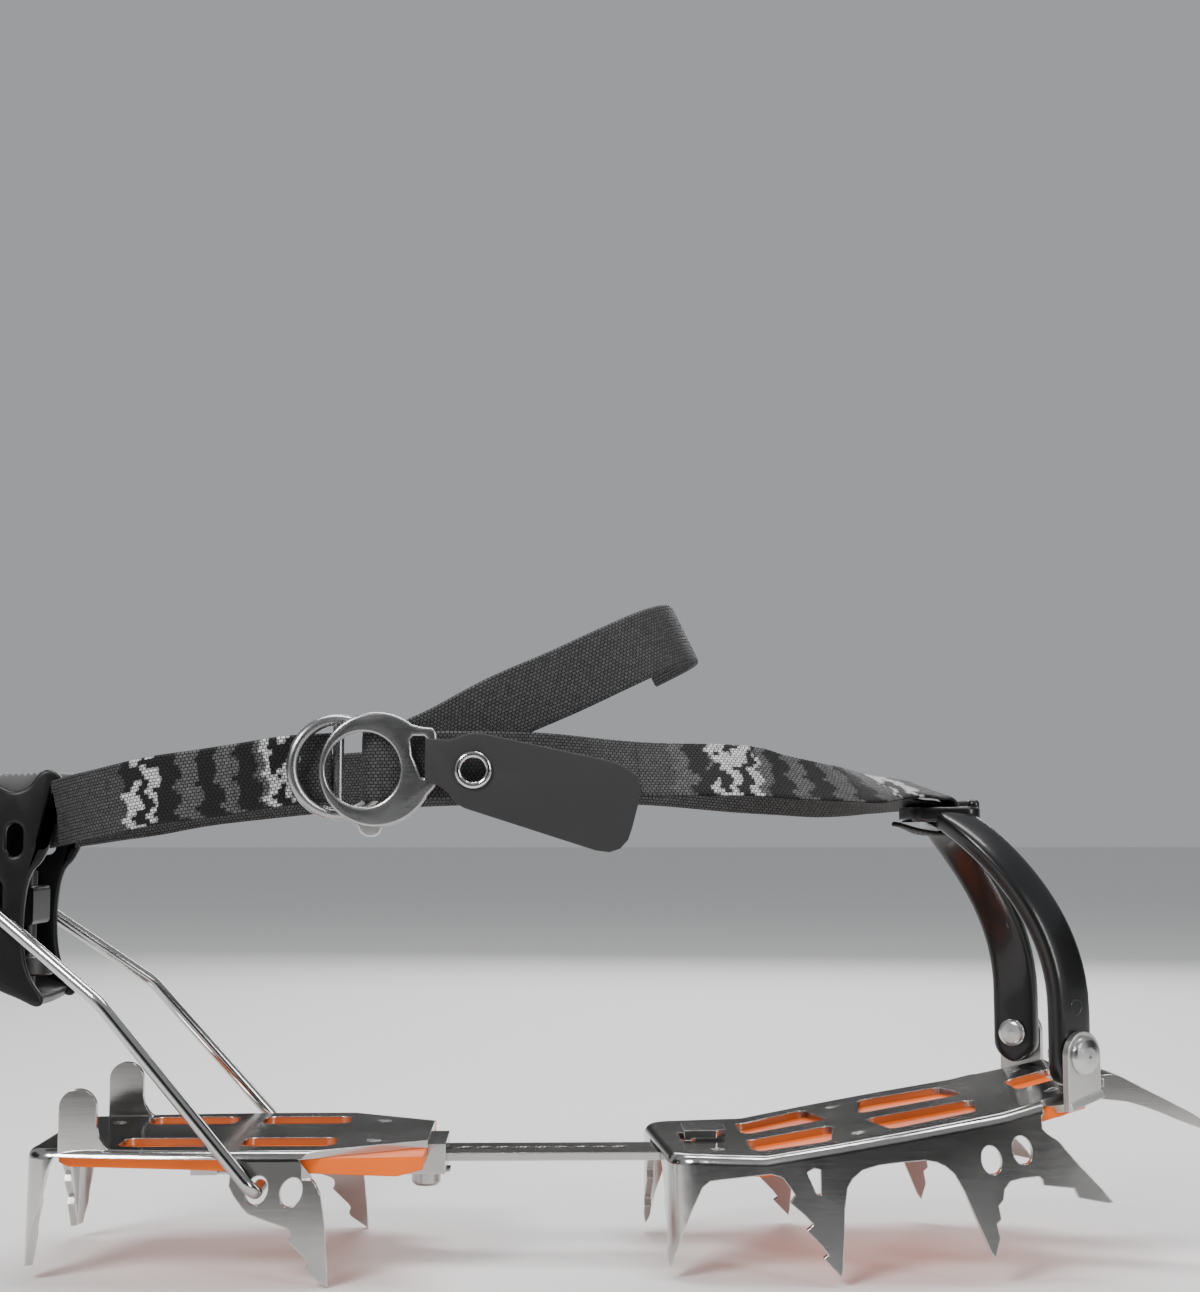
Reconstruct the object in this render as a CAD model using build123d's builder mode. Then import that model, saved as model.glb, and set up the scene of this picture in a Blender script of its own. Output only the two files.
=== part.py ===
from build123d import *
import os
from math import atan2, cos, degrees, radians, sin

os.makedirs("parts", exist_ok=True)

# A crampon for the right foot, in millimetres. +X is to the toe, +Y to the inside of the foot, +Z up.
# The origin is on the ground under the middle of the part.

# Driving dimensions
sheet = 2.2          # stamped steel
gap = 0.1            # between pieces that lie on each other
skirt_lean = 7.5     # degrees that the front skirts lean outwards
heel_lean = 4.0      # degrees that the heel blades lean outwards
bend_radius = 3.0    # outside of a bend in the steel
plate_edge = 1.5     # rounded upper edge of an anti-balling plate

bar_wide, bar_thick, bar_top = 20.0, 2.4, 32.5
bar_back_x, bar_hook_x, bar_tip_x = -144.0, 28.0, 41.0
hole_pitch, hole_diameter = 6.0, 4.6

seat_top = 38.0      # top of the rear section
front_top = 35.6     # top of the front section where it is level
heel_x, heel_front_x = -167.0, -50.0
front_back_x = 21.5
far_shift = -4.0      # the inner side's front blades stand further back than the outer side's
blade_shift = 4.0     # the inner side's heel blade stands further forward

wire_diameter = 4.0
wire_hinge = (-97.9, 27.2)      # X and Z of the wire's ends in the heel blades
lever_hinge = (-181.0, 107.5)   # X and Z of the wire's cross-piece

toe_rivet = Vector(141.3, -33.0, 64.3)   # middle of the bail's foot, on the outer side
toe_yaw = 34.0                           # degrees that the foot turns towards the toe
bail_top, bail_reach = 135.6, 31.0       # height of the arch, and how far back its top lies
bail_wide, bail_thick = 14.4, 6.5

strap_wide, strap_thick = 20.0, 1.6


def save(piece, name):
    """Label a finished piece and write it as its own node."""
    piece.part.label = name
    export_step(piece.part, f"parts/{name}.step")


def outline(*points):
    """A closed straight-sided outline in the current sketch."""
    with BuildLine() as edge:
        Polyline(*points, close=True)
    make_face(edge.edges())


# ---------------------------------------------------------------- shared forms

front_ridge = [(10, front_top), (50, front_top), (120, 48.0), (157, 57.8), (181, 45.6), (195, 37.2)]
toe_slope = degrees(atan2(57.8 - 48.0, 157 - 120))
both_sides = (-1, 1)


def front_plan(out, inset):
    """The front section seen from above, in the current sketch, with its sides moved out and all of it set in."""
    back, round_x, round_y = front_back_x + inset, 24 + 0.7 * inset, 33.5 + 0.7 * (out - inset)
    rear_y, ball_y, nose_y = (y + out - inset for y in (36, 43, 38))
    nose_x = 152.5
    with BuildLine() as edge:
        Line((back + far_shift, 27), (back, -27))
        ThreePointArc((back, -27), (round_x, -round_y), (30.5, -rear_y))
        ThreePointArc((30.5, -rear_y), (75, -ball_y), (nose_x, -nose_y))
        Line((nose_x, -nose_y), (nose_x, nose_y))
        ThreePointArc((nose_x, nose_y), (75 + far_shift, ball_y), (30.5 + far_shift, rear_y))
        ThreePointArc((30.5 + far_shift, rear_y), (round_x + far_shift, round_y), (back + far_shift, 27))
    make_face(edge.edges())


def heel_plan(out, inset):
    """The rear section seen from above, in the current sketch, with its sides moved out and all of it set in."""
    back, round_x, round_y = heel_x + inset, -164.5 + 0.7 * inset, 32.5 + 0.7 * (out - inset)
    rear_y, side_y, open_y = (y + out - inset for y in (35, 41, 38))
    front = heel_front_x + 8
    with BuildLine() as edge:
        Line((back, 26), (back, -26))
        ThreePointArc((back, -26), (round_x, -round_y), (-158, -rear_y))
        ThreePointArc((-158, -rear_y), (-98, -side_y), (front, -open_y))
        Line((front, -open_y), (front, open_y))
        ThreePointArc((front, open_y), (-98, side_y), (-158, rear_y))
        ThreePointArc((-158, rear_y), (round_x, round_y), (back, 26))
    make_face(edge.edges())


def under_ridge(drop):
    """What lies under the front section's top surface, lowered by an amount, in the current sketch."""
    with BuildLine() as edge:
        FilletPolyline(*[(x, z - drop) for x, z in front_ridge], radius=12)
        Polyline((195, 37.2 - drop), (195, -5), (10, -5), (10, front_top - drop))
    make_face(edge.edges())


def under_seat(drop):
    """What lies under the rear section's top surface, lowered by an amount, in the current sketch."""
    outline((-190, -5), (-30, -5), (-30, seat_top - drop), (-190, seat_top - drop))


def lean_hull(plan, roof, level, lean, thick, bend, top=60):
    """A solid with the plan's outline at one level, whose sides lean outwards on the way down and whose top
    edge is rounded. thick is taken off all round."""
    slant = sin(radians(lean)) / cos(radians(lean))
    with BuildPart() as hull:
        for z in (top, -2):
            with BuildSketch(Plane.XY.offset(z)):
                plan((level - z) * slant, thick)
        loft(ruled=True)
        with BuildSketch(Plane.XZ.offset(-80)):
            roof(thick)
        extrude(amount=160, mode=Mode.INTERSECT)
        tops = hull.faces().filter_by(lambda face: face.normal_at().Z > 0.5)
        sides = hull.faces().filter_by(lambda face: abs(face.normal_at().Z) < 0.5)
        side_edges = sides.edges()
        rim = [edge for edge in tops.edges() if any(edge.is_same(other) for other in side_edges)]
        fillet([edge for edge in rim if edge.center().X < 152], bend)
    return hull


def halves(points, shift):
    """A side view's outline as one solid, with the inner side's half moved along by an amount."""
    with BuildPart() as both:
        for start, move in ((0, 0), (-80, shift)):
            with BuildSketch(Plane.XZ.offset(start)):
                outline(*[(x + move, z) for x, z in points])
            extrude(amount=80)
    return both


def mirrored(points):
    """A list of points and its mirror image, in order, round a shape that is even about the first axis."""
    return points + [(-x, z) for x, z in reversed(points)]


# ---------------------------------------------------------------- front section

rivet_diameter = 4.0
front_rivets = [(37, -24), (37, 24), (79, -27), (79, 27)]
toe_up = Vector(-sin(radians(toe_slope)), 0, cos(radians(toe_slope)))
toe_ahead = Vector(cos(radians(toe_slope)), 0, sin(radians(toe_slope)))


def ridge_height(x):
    """Height of the front section's top between the level part and the crest."""
    return 48.0 + (x - 120) * (57.8 - 48.0) / (157 - 120)


def post_foot(side):
    """Where a toe post is riveted to the top of the front section."""
    return Vector(138, side * 24, ridge_height(138))


# Lower edge of the skirt, from the rear blade to the forward one
skirt_edge = [
    (10, 0.7), (20.8, 0.7), (22.8, 4.1), (25.2, 12.4), (28.3, 20.2), (31.3, 26.6), (33.5, 28.4), (37, 29),
    (51, 30.9), (54.3, 30.0), (56.7, 26.9), (57.8, 25.1), (56.4, 23), (60.5, 19.6), (62.8, 17.2), (60.9, 15.5),
    (64.9, 11.5), (66.8, 9), (65.4, 8), (70.4, 2.9), (70.8, 4.5), (71.5, 13.3), (71.9, 21.4), (72.9, 27.5),
    (74.4, 30), (77.3, 32.4), (82, 33.8), (88.3, 34.6), (95.6, 35.2), (99, 34.6), (101.5, 33.4), (104, 31.2),
    (106.6, 26.6), (109.4, 19.8), (113.6, 9.9), (115, 7.8), (116.6, 13.2), (115.8, 17.3), (117.2, 18.6),
    (116.6, 22.3), (118.1, 24), (118.6, 26.9), (120.4, 29), (123.9, 29.8), (129, 30.2), (130, 29.4),
    (130.4, 27.7), (139.6, 26.6), (140.9, 23.9), (149.8, 22.1), (151.4, 22.3), (148.1, 26.4), (141.8, 33),
    (137.8, 37.6), (135.7, 40.2), (132.3, 42.3), (130.8, 43.9), (130.8, 47.4), (153, 53.2), (153, 65), (10, 65),
]
skirt_slit = [(61.4, 31.6), (63.4, 32.8), (65.3, 32.4), (65.2, 25.5), (64.1, 25.5)]
skirt_holes = [(115.1, 35.1), (124.4, 37.7)]
# Inner edge of the rear blade, seen from behind
rear_blade_edge = [(13, 33.3), (13, 31), (17, 29), (22, 22), (21, 19.5), (28, 12), (27, 9.5), (35.5, 0.7), (35.5, -4)]
prong_low = [(146, 50.4), (161, 48.9), (166, 47.5), (171, 45.7), (177, 43.2), (183, 41.0), (195, 35.4)]

front_outer = lean_hull(front_plan, under_ridge, 36, skirt_lean, 0, bend_radius)
front_inner = lean_hull(front_plan, under_ridge, 36, skirt_lean, sheet, bend_radius - sheet)

# two forward prongs: a curved sheet with a flange along its outer edge
with BuildPart() as prongs:
    with BuildSketch(Plane.XZ.offset(-80)):
        under_ridge(0)
    extrude(amount=160)
    with BuildSketch(Plane.XZ.offset(-81)):
        under_ridge(sheet)
    extrude(amount=162, mode=Mode.SUBTRACT)
    for side in both_sides:
        with BuildSketch(Plane.XZ.offset(-22.9 if side > 0 else 20.7)):
            outline(*prong_low, (195, 40), (180, 47), (157, 57), (146, 53))
        extrude(amount=sheet)
    with BuildSketch(Plane.XZ.offset(-81)):
        under_ridge(0)
    extrude(amount=162, mode=Mode.INTERSECT)
    with BuildSketch(Plane.XY.offset(20)):
        for side in both_sides:
            outline((149, side * 8), (149, side * 22.9), (193, side * 22.9), (195, side * 21),
                    (194, side * 18.5), (166, side * 9))
    extrude(amount=50, mode=Mode.INTERSECT)

with BuildPart() as front_section:
    add(front_outer)
    add(front_inner, mode=Mode.SUBTRACT)
    add(halves(skirt_edge, far_shift), mode=Mode.INTERSECT)
    with BuildSketch(Plane.YZ.offset(5)):
        outline(*mirrored(rear_blade_edge))
    extrude(amount=22, mode=Mode.SUBTRACT)
    # the toe end of the plate is narrower than the skirts
    with BuildSketch(Plane.XY.offset(44.2)):
        for side, back in ((-1, 131), (1, 131 + far_shift)):
            outline((back, side * 60), (back + 0.5, side * 36), (back + 19, side * 29.5), (156, side * 29),
                    (156, side * 60))
    extrude(amount=30, mode=Mode.SUBTRACT)
    add(prongs)
    # lightening windows, the slot for the bar's hook, and rivet holes
    with BuildSketch(Plane.XY.offset(30)):
        for side in both_sides:
            outline((47, side * 6), (74, side * 6), (70, side * 32), (47, side * 27))
            outline((84, side * 6), (118, side * 6), (114, side * 28), (88, side * 31))
        with Locations((139, 0)):
            Rectangle(16, 20)
        fillet(vertices(), 3)
        with Locations((29.3, 0)):
            Rectangle(4.4, 17.6)
        with Locations(*front_rivets):
            Circle(rivet_diameter / 2 + gap)
    extrude(amount=30, mode=Mode.SUBTRACT)
    for side in both_sides:
        with BuildSketch(Plane(post_foot(side), x_dir=toe_ahead, z_dir=toe_up)):
            Circle(rivet_diameter / 2 + gap)
        extrude(amount=12, both=True, mode=Mode.SUBTRACT)
    # holes in the skirts
    for start, move in ((0, 0), (-80, far_shift)):
        with BuildSketch(Plane.XZ.offset(start)):
            outline(*[(x + move, z) for x, z in skirt_slit])
            fillet(vertices(), 0.4)
            with Locations(*[Location((x + move, z, 0), (0, 0, 15)) for x, z in skirt_holes]):
                Ellipse(2.9, 4.1)
        extrude(amount=80, mode=Mode.SUBTRACT)
save(front_section, "front_section")

# ---------------------------------------------------------------- front section's fittings

yaw = radians(toe_yaw)


def toe_plane(side, out):
    """Upright plane across a foot of the bail: X along the foot, Y up, Z outwards, at a distance outwards."""
    normal = Vector(sin(yaw), side * cos(yaw), 0)
    along = Vector(0, 0, 1).cross(normal)
    middle = Vector(toe_rivet.X, side * abs(toe_rivet.Y), toe_rivet.Z)
    return Plane(middle + normal * out, x_dir=along, z_dir=normal)


def spun(plane, profile):
    """A solid of revolution about the plane's Z axis, from a list of (radius, height)."""
    with BuildPart() as turned:
        with BuildSketch(Plane(plane.origin, x_dir=plane.x_dir, z_dir=plane.x_dir.cross(plane.z_dir))):
            outline(*profile)
        revolve(axis=Axis(plane.origin, plane.z_dir))
    return turned


post_inner = bail_thick / 2 + 2 * gap       # from the middle of the bail's foot
post_outer = post_inner + sheet
foot_outline = [(-8, 7), (-8, -8), (0.7, -17.6), (12.7, -9.8), (9, 7)]


def foot_pad(side, low, thick):
    """The outline of a post's foot on the underside of the front section, low under its top."""
    with BuildPart() as pad:
        with BuildSketch(Plane(post_foot(side) - toe_up * low, x_dir=toe_ahead, z_dir=toe_up)):
            outline(*[(x, -side * y) for x, y in foot_outline])
        extrude(amount=thick)
    return pad


with BuildPart() as toe_posts:
    for side in both_sides:
        add(foot_pad(side, 2 * sheet, sheet))
        with BuildSketch(toe_plane(side, post_inner)):
            with Locations((0, 0)):
                Circle(7)
            outline((-7, 0), (7, 0), (7, -12.8 if side < 0 else -15.9), (-7, -15.9 if side < 0 else -12.8))
        extrude(amount=sheet)
        with BuildSketch(toe_plane(side, 0)):
            Circle(2.6)
        extrude(amount=10, mode=Mode.SUBTRACT)
        with BuildSketch(Plane(post_foot(side) - toe_up * 10, x_dir=toe_ahead, z_dir=toe_up)):
            Circle(rivet_diameter / 2 + gap)
        extrude(amount=12, mode=Mode.SUBTRACT)
save(toe_posts, "toe_posts")

with BuildPart() as bail_rivets:
    for side in both_sides:
        head = post_outer + gap / 2
        add(spun(toe_plane(side, 0), [
            (0, -5.6), (3.4, -5.4), (4.4, -4.6), (4.4, -3.5), (2.5, -3.5), (2.5, head), (5.8, head),
            (5.8, head + 0.7), (4.9, head + 1.6), (2.6, head + 2.2), (0, head + 2.3)]))
save(bail_rivets, "bail_rivets")

with BuildPart() as front_antiball_plate:
    add(lean_hull(front_plan, under_ridge, 36, skirt_lean, sheet + gap, plate_edge))
    with BuildSketch(Plane.XZ.offset(-80)):
        under_ridge(sheet + 3.6)
    extrude(amount=160, mode=Mode.SUBTRACT)
    for side in both_sides:
        add(foot_pad(side, 2 * sheet + gap, sheet + 1), mode=Mode.SUBTRACT)
    with BuildSketch(Plane.XY.offset(20)):
        with Locations((20, 0)):
            Rectangle(60, 24)
        with Locations((15, 0), (157, 0)):
            Rectangle(24, 90)
        with Locations(*front_rivets):
            Circle(rivet_diameter / 2 + gap)
    extrude(amount=50, mode=Mode.SUBTRACT)
    for side in both_sides:
        with BuildSketch(Plane(post_foot(side) - toe_up * 20, x_dir=toe_ahead, z_dir=toe_up)):
            Circle(rivet_diameter / 2 + gap)
        extrude(amount=30, mode=Mode.SUBTRACT)
save(front_antiball_plate, "front_antiball_plate")


def flush_rivet(plane, grip):
    """A rivet whose top is level with the steel and whose other head is below."""
    radius = rivet_diameter / 2
    return spun(plane, [(0, 0), (radius, 0), (radius, -grip), (3.6, -grip), (3.4, -grip - 0.8), (2, -grip - 1.5),
                        (0, -grip - 1.7)])


with BuildPart() as front_plate_rivets:
    for x, y in front_rivets:
        level = front_top if x < 50 else front_top + (x - 50) * (48.0 - front_top) / 70
        add(flush_rivet(Plane((x, y, level)), 6.6))
    for side in both_sides:
        add(flush_rivet(Plane(post_foot(side), x_dir=toe_ahead, z_dir=toe_up), 6.6))
save(front_plate_rivets, "front_plate_rivets")

# ---------------------------------------------------------------- toe bail

foot_high, foot_low, foot_round = 12.0, -9.5, 6.4
arch_start = toe_rivet.Z + foot_high


def arch_point(angle):
    """A point on the arch's middle line, from 0 at the outer foot to 180 at the inner foot."""
    across, up = cos(radians(angle)), max(sin(radians(angle)), 0.0)
    rise = up ** 0.8
    side = -1 if across > 0 else 1
    return Vector(toe_rivet.X - bail_reach * rise ** 2.1, side * abs(toe_rivet.Y) * abs(across) ** 0.8,
                  arch_start + (bail_top - arch_start) * rise)


def arch_plane(angle):
    """Plane across the arch: X along the band's width, Y through its thickness."""
    if angle in (0, 180):
        ahead = Vector(0, 0, 1 if angle == 0 else -1)
    else:
        ahead = (arch_point(angle + 1) - arch_point(angle - 1)).normalized()
    turn = radians(toe_yaw) * cos(radians(angle))
    wide = Vector(cos(turn), sin(turn), 0)
    wide = (wide - ahead * wide.dot(ahead)).normalized()
    return Plane(arch_point(angle), x_dir=wide, z_dir=ahead)


with BuildPart() as toe_bail:
    for angle in (0, 8, 20, 35, 52, 70, 90, 110, 128, 145, 160, 172, 180):
        with BuildSketch(arch_plane(angle)):
            RectangleRounded(bail_wide - 2.6 * sin(radians(angle)), bail_thick, 1.6)
    loft()
    # the head that the strap is threaded through, with a raised lip in front of its slot
    with BuildSketch(Plane.XY.offset(bail_top - 2.4)):
        with Locations((110, 0)):
            RectangleRounded(22, 28, 5)
    extrude(amount=4.8)
    with BuildSketch(Plane.XY.offset(bail_top)):
        with Locations((119.2, 0)):
            RectangleRounded(3.2, 19, 1.4)
    extrude(amount=4.4)
    with BuildSketch(Plane.XY.offset(bail_top - 10)):
        with Locations((114.5, 0)):
            RectangleRounded(4.4, 22, 1.5)
    extrude(amount=20, mode=Mode.SUBTRACT)
save(toe_bail, "toe_bail")

with BuildPart() as toe_bail_feet:
    for side in both_sides:
        with BuildSketch(toe_plane(side, -bail_thick / 2)):
            outline((-bail_wide / 2, foot_high), (bail_wide / 2, foot_high), (bail_wide / 2, foot_low),
                    (-bail_wide / 2, foot_low))
            fillet(vertices().group_by(Axis.Z)[0], foot_round)
        extrude(amount=bail_thick)
        with BuildSketch(toe_plane(side, -10)):
            Circle(2.6)
        extrude(amount=20, mode=Mode.SUBTRACT)
save(toe_bail_feet, "toe_bail_feet")

# ---------------------------------------------------------------- linking bar

with BuildPart() as linking_bar:
    with BuildSketch(Plane.XZ.offset(-bar_wide / 2)):
        outline((bar_back_x, bar_top), (bar_back_x, bar_top - bar_thick), (bar_hook_x + bar_thick, bar_top - bar_thick),
                (bar_hook_x + bar_thick, 36.3), (bar_tip_x, 36.3), (bar_tip_x, 36.3 + bar_thick),
                (bar_hook_x, 36.3 + bar_thick), (bar_hook_x, bar_top))
    extrude(amount=bar_wide)
    # the hook is narrower than the bar
    with BuildSketch(Plane.XY.offset(28)):
        for side in both_sides:
            outline((24, side * 10), (26, side * 8), (38, side * 8), (bar_tip_x, side * 5), (50, side * 5),
                    (50, side * 12), (24, side * 12))
    extrude(amount=14, mode=Mode.SUBTRACT)
    with BuildSketch(Plane.XY.offset(28)):
        for number in range(-13, 11):
            with Locations((-51.5 + number * hole_pitch, 0)):
                Circle(hole_diameter / 2)
    extrude(amount=6, mode=Mode.SUBTRACT)
save(linking_bar, "linking_bar")

# ---------------------------------------------------------------- rear section

under_plate = seat_top - sheet
heel_blade = [(-175, 60), (-175, 12), (-170.5, 5.5), (-168.5, 3.8), (-163, 4.6), (-162.5, 14), (-161.1, 24.1),
              (-159.8, 31.6), (-158, under_plate), (-130, under_plate), (-130, 60)]
side_blade = [
    (-134, 60), (-134, under_plate), (-104.0, under_plate), (-105.7, 31.9), (-106, 28.3), (-104.6, 25.7),
    (-102.1, 22.5), (-100.3, 20.7), (-94.7, 18.6), (-89.1, 16.7), (-88.2, 15.8), (-88.1, 14.3), (-88.7, 13.1),
    (-83.3, 7.9), (-82.7, 6.8), (-83.3, 5.3), (-82.7, 4.1), (-76.9, 0.2), (-77.4, 8.2), (-78.1, 15.5), (-78.8, 21.1),
    (-79.6, 25.9), (-81, 28.7), (-83.1, 31.7), (-86, under_plate), (-54, under_plate), (-54, 60),
]
# Inner and outer edges of the heel blade, seen from behind
heel_blade_edge = [(8, 34.4), (8, 33), (13, 29), (12, 27.5), (18, 22), (17, 20), (23, 14), (22, 12), (27.5, 4), (27.5, -4)]
heel_blade_outside = [(45, 30), (36.8, 30), (36, 25), (31, 4), (31, -4), (45, -4)]
tab_side, tab_round = 32.6, 5.5
tab_foot = [(-156.8, 49.8), (-156.8, 37), (-141.0, 37), (-143.6, 39), (-145.2, 41.5), (-145.8, 44), (-145.8, 49.8)]
rear_windows = [(-127, 22), (-91, 22)]
rear_rivets = [(-150, -18), (-150, 18), (-66, -20), (-66, 20)]

# The side view of the rear section, with its blades
with BuildPart() as blade_views:
    with BuildSketch(Plane.XZ.offset(-80)):
        outline(*heel_blade)
        outline((-60, 60), (-60, under_plate), (-30, under_plate), (-30, 60))
    extrude(amount=160)
    add(halves(side_blade, blade_shift))

with BuildPart() as rear_section:
    add(lean_hull(heel_plan, under_seat, seat_top, heel_lean, 0, bend_radius))
    add(lean_hull(heel_plan, under_seat, seat_top, heel_lean, sheet, bend_radius - sheet), mode=Mode.SUBTRACT)
    add(blade_views, mode=Mode.INTERSECT)
    # the plate narrows towards the bar
    with BuildSketch(Plane.XY.offset(30)):
        for side, back in ((-1, -85), (1, -85 + blade_shift)):
            outline((back, side * 60), (back, side * 41), (heel_front_x, side * 20), (-30, side * 20), (-30, side * 60))
        with Locations((heel_front_x + 10, 0)):
            Rectangle(20, 50)
    extrude(amount=20, mode=Mode.SUBTRACT)
    with BuildSketch(Plane.YZ.offset(-180)):
        outline(*mirrored(heel_blade_edge))
        for side in both_sides:
            outline(*[(side * y, z) for y, z in heel_blade_outside])
    extrude(amount=25, mode=Mode.SUBTRACT)
    with BuildSketch(Plane.XY.offset(30)):
        for x, y in rear_windows:
            with Locations((x, y), (x, -y)):
                Rectangle(28, 16)
        fillet(vertices(), 4)
        with Locations(*rear_rivets):
            Circle(rivet_diameter / 2 + gap)
    extrude(amount=20, mode=Mode.SUBTRACT)
    for side in both_sides:
        with BuildSketch(Plane.XZ.offset(-tab_side if side > 0 else tab_side + sheet)):
            outline(*tab_foot)
            with Locations((-151.3, 49.8)):
                Circle(tab_round)
        extrude(amount=-sheet)
    # two holes a side for the heel bail's wire
    with BuildSketch(Plane.XZ.offset(-80)):
        with Locations(Location((*wire_hinge, 0), (0, 0, -20)), Location((-88, 26.6, 0), (0, 0, -20))):
            Ellipse(3.1, 4.3)
    extrude(amount=160, mode=Mode.SUBTRACT)
save(rear_section, "rear_section")

# brackets that the bar slides through, welded under the rear section
guide_side, guide_low, guide_high = 13.5, 26.8, seat_top - sheet - gap
with BuildPart() as bar_guides:
    for back, front in ((-122, -114), (-58, -45)):
        with BuildSketch(Plane.YZ.offset(back)):
            with Locations((0, (guide_low + guide_high) / 2)):
                Rectangle(2 * guide_side, guide_high - guide_low)
            with Locations((0, bar_top - bar_thick / 2)):
                Rectangle(bar_wide + 0.6, bar_thick + 0.6, mode=Mode.SUBTRACT)
        extrude(amount=front - back)
    with BuildSketch(Plane.XY.offset(20)):
        with Locations((-51.5, 0)):
            Circle(rivet_diameter / 2 + gap)
    extrude(amount=12, mode=Mode.SUBTRACT)
save(bar_guides, "bar_guides")

with BuildPart() as lock_pin:
    add(spun(Plane((-51.5, 0, 21.5)), [(0, 0), (3.5, 0), (4.5, 1), (4.5, 4.2), (2, 4.2), (2, 9.9), (1.4, 10.5), (0, 10.5)]))
save(lock_pin, "lock_pin")

with BuildPart() as lock_spring:
    with BuildSketch(Plane.XY.offset(25.8)):
        outline((-121, -6), (-60, -4.5), (-46, -4.5), (-44, -3), (-44, 3), (-46, 4.5), (-60, 4.5), (-121, 6))
        with Locations((-51.5, 0)):
            Circle(2.2, mode=Mode.SUBTRACT)
    extrude(amount=guide_low - 25.8 - gap)
save(lock_spring, "lock_spring")


def antiball_bottom(x):
    """Height of the rear anti-balling plate's underside, which falls towards the front."""
    return 32.75 - 2.75 * ((x + 154) / 99) ** 2


with BuildPart() as rear_antiball_plate:
    with BuildSketch(Plane.XY.offset(28)):
        heel_plan(0, 3)
    extrude(amount=guide_high - 28)
    with BuildSketch(Plane.XZ.offset(-80)):
        outline((-157, 60), (-157, 34), *[(x, antiball_bottom(x)) for x in range(-154, -50, 12)],
                (-50.5, 32), (-50.5, 60))
    extrude(amount=160, mode=Mode.INTERSECT)
    with BuildSketch(Plane.XY.offset(25)):
        with Locations((-118, 0), (-50, 0)):
            Rectangle(9, 28.4)
            Rectangle(18, 28.4)
        with Locations(*rear_rivets):
            Circle(rivet_diameter / 2 + gap)
    extrude(amount=20, mode=Mode.SUBTRACT)
    with BuildSketch(Plane.XY.offset(25)):
        with Locations((-100, 0)):
            Rectangle(120, 23)
    extrude(amount=8.1, mode=Mode.SUBTRACT)
save(rear_antiball_plate, "rear_antiball_plate")

with BuildPart() as rear_plate_rivets:
    for x, y in rear_rivets:
        add(flush_rivet(Plane((x, y, seat_top)), seat_top - antiball_bottom(x) + 3 * gap))
save(rear_plate_rivets, "rear_plate_rivets")

# ---------------------------------------------------------------- heel bail and lever


def swept_rod(points, radii, radius):
    """A round rod along straight lines with rounded corners."""
    points = [Vector(*point) for point in points]
    with BuildPart() as rod:
        with BuildLine() as path:
            last = points[0]
            for before, corner, after, bend in zip(points, points[1:], points[2:], radii):
                back, on = (before - corner).normalized(), (after - corner).normalized()
                half = radians(back.get_angle(on)) / 2
                reach = bend * cos(half) / sin(half)
                inward = (back + on).normalized()
                start, finish = corner + back * reach, corner + on * reach
                Line(last, start)
                ThreePointArc(start, corner + inward * (bend / sin(half) - bend), finish)
                last = finish
            Line(last, points[-1])
        with BuildSketch(Plane(points[0], z_dir=points[1] - points[0])):
            Circle(radius)
        sweep(path=path.wires()[0])
    return rod


wire_side = [(wire_hinge[0], -34, wire_hinge[1]), (wire_hinge[0], -47, wire_hinge[1]), (-144.6, -40, 80.6),
             (lever_hinge[0], -26.5, lever_hinge[1])]
with BuildPart() as heel_bail_wire:
    add(swept_rod(wire_side + [(x, -y, z) for x, y, z in reversed(wire_side)], [3.5, 15, 6, 6, 15, 3.5],
                  wire_diameter / 2))
save(heel_bail_wire, "heel_bail_wire")

lever_wall, lever_side = 3.5, 22.0
lever_outline = [(-160, 148.5), (-163, 136), (-165, 124.7), (-168, 121), (-171.3, 94.5), (-169.7, 86.8), (-165, 79),
                 (-178, 80), (-192, 95), (-194, 110), (-190, 135), (-186, 147), (-174, 149.4)]
lever_hollow = [(-150, 84), (-176, 84), (-188.3, 96), (-190.2, 110), (-186.6, 134), (-184.5, 137), (-150, 137)]
screw_x, wheel_low, wheel_high = -176.0, 86.0, 92.0

with BuildPart() as heel_lever:
    with BuildSketch(Plane.XZ.offset(-lever_side)):
        outline(*lever_outline)
        fillet(vertices(), 1.5)
    extrude(amount=2 * lever_side)
    fillet(heel_lever.faces().filter_by(Axis.Y).edges(), 1.0)
    with BuildSketch(Plane.XZ.offset(lever_wall - lever_side)):
        outline(*lever_hollow)
    extrude(amount=2 * (lever_side - lever_wall), mode=Mode.SUBTRACT)
    # upright slots for the wire, and the slots that the straps go through
    with BuildSketch(Plane.XZ.offset(-30)):
        with Locations((lever_hinge[0], lever_hinge[1] + 2)):
            SlotOverall(13, 4.6, rotation=90)
        with Locations((-175, 129)):
            RectangleRounded(7, 9, 2)
    extrude(amount=60, mode=Mode.SUBTRACT)
    for side in both_sides:
        with BuildSketch(Plane.YZ.offset(-172)):
            with Locations((side * 18.5, 136)):
                Rectangle(2.6, 21)
        extrude(amount=20, mode=Mode.SUBTRACT)
    with BuildSketch(Plane.XY.offset(140)):
        with Locations((-176, 0)):
            Rectangle(16, 34)
    extrude(amount=20, mode=Mode.SUBTRACT)
    with BuildSketch(Plane.XY.offset(wheel_low - 0.6)):
        with Locations((-190, 0)):
            Rectangle(30, 17)
    extrude(amount=wheel_high - wheel_low + 1.2, mode=Mode.SUBTRACT)
    with BuildSketch(Plane.XY.offset(70)):
        with Locations((screw_x, 0)):
            Circle(2.7)
    extrude(amount=30, mode=Mode.SUBTRACT)
save(heel_lever, "heel_lever")

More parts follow.
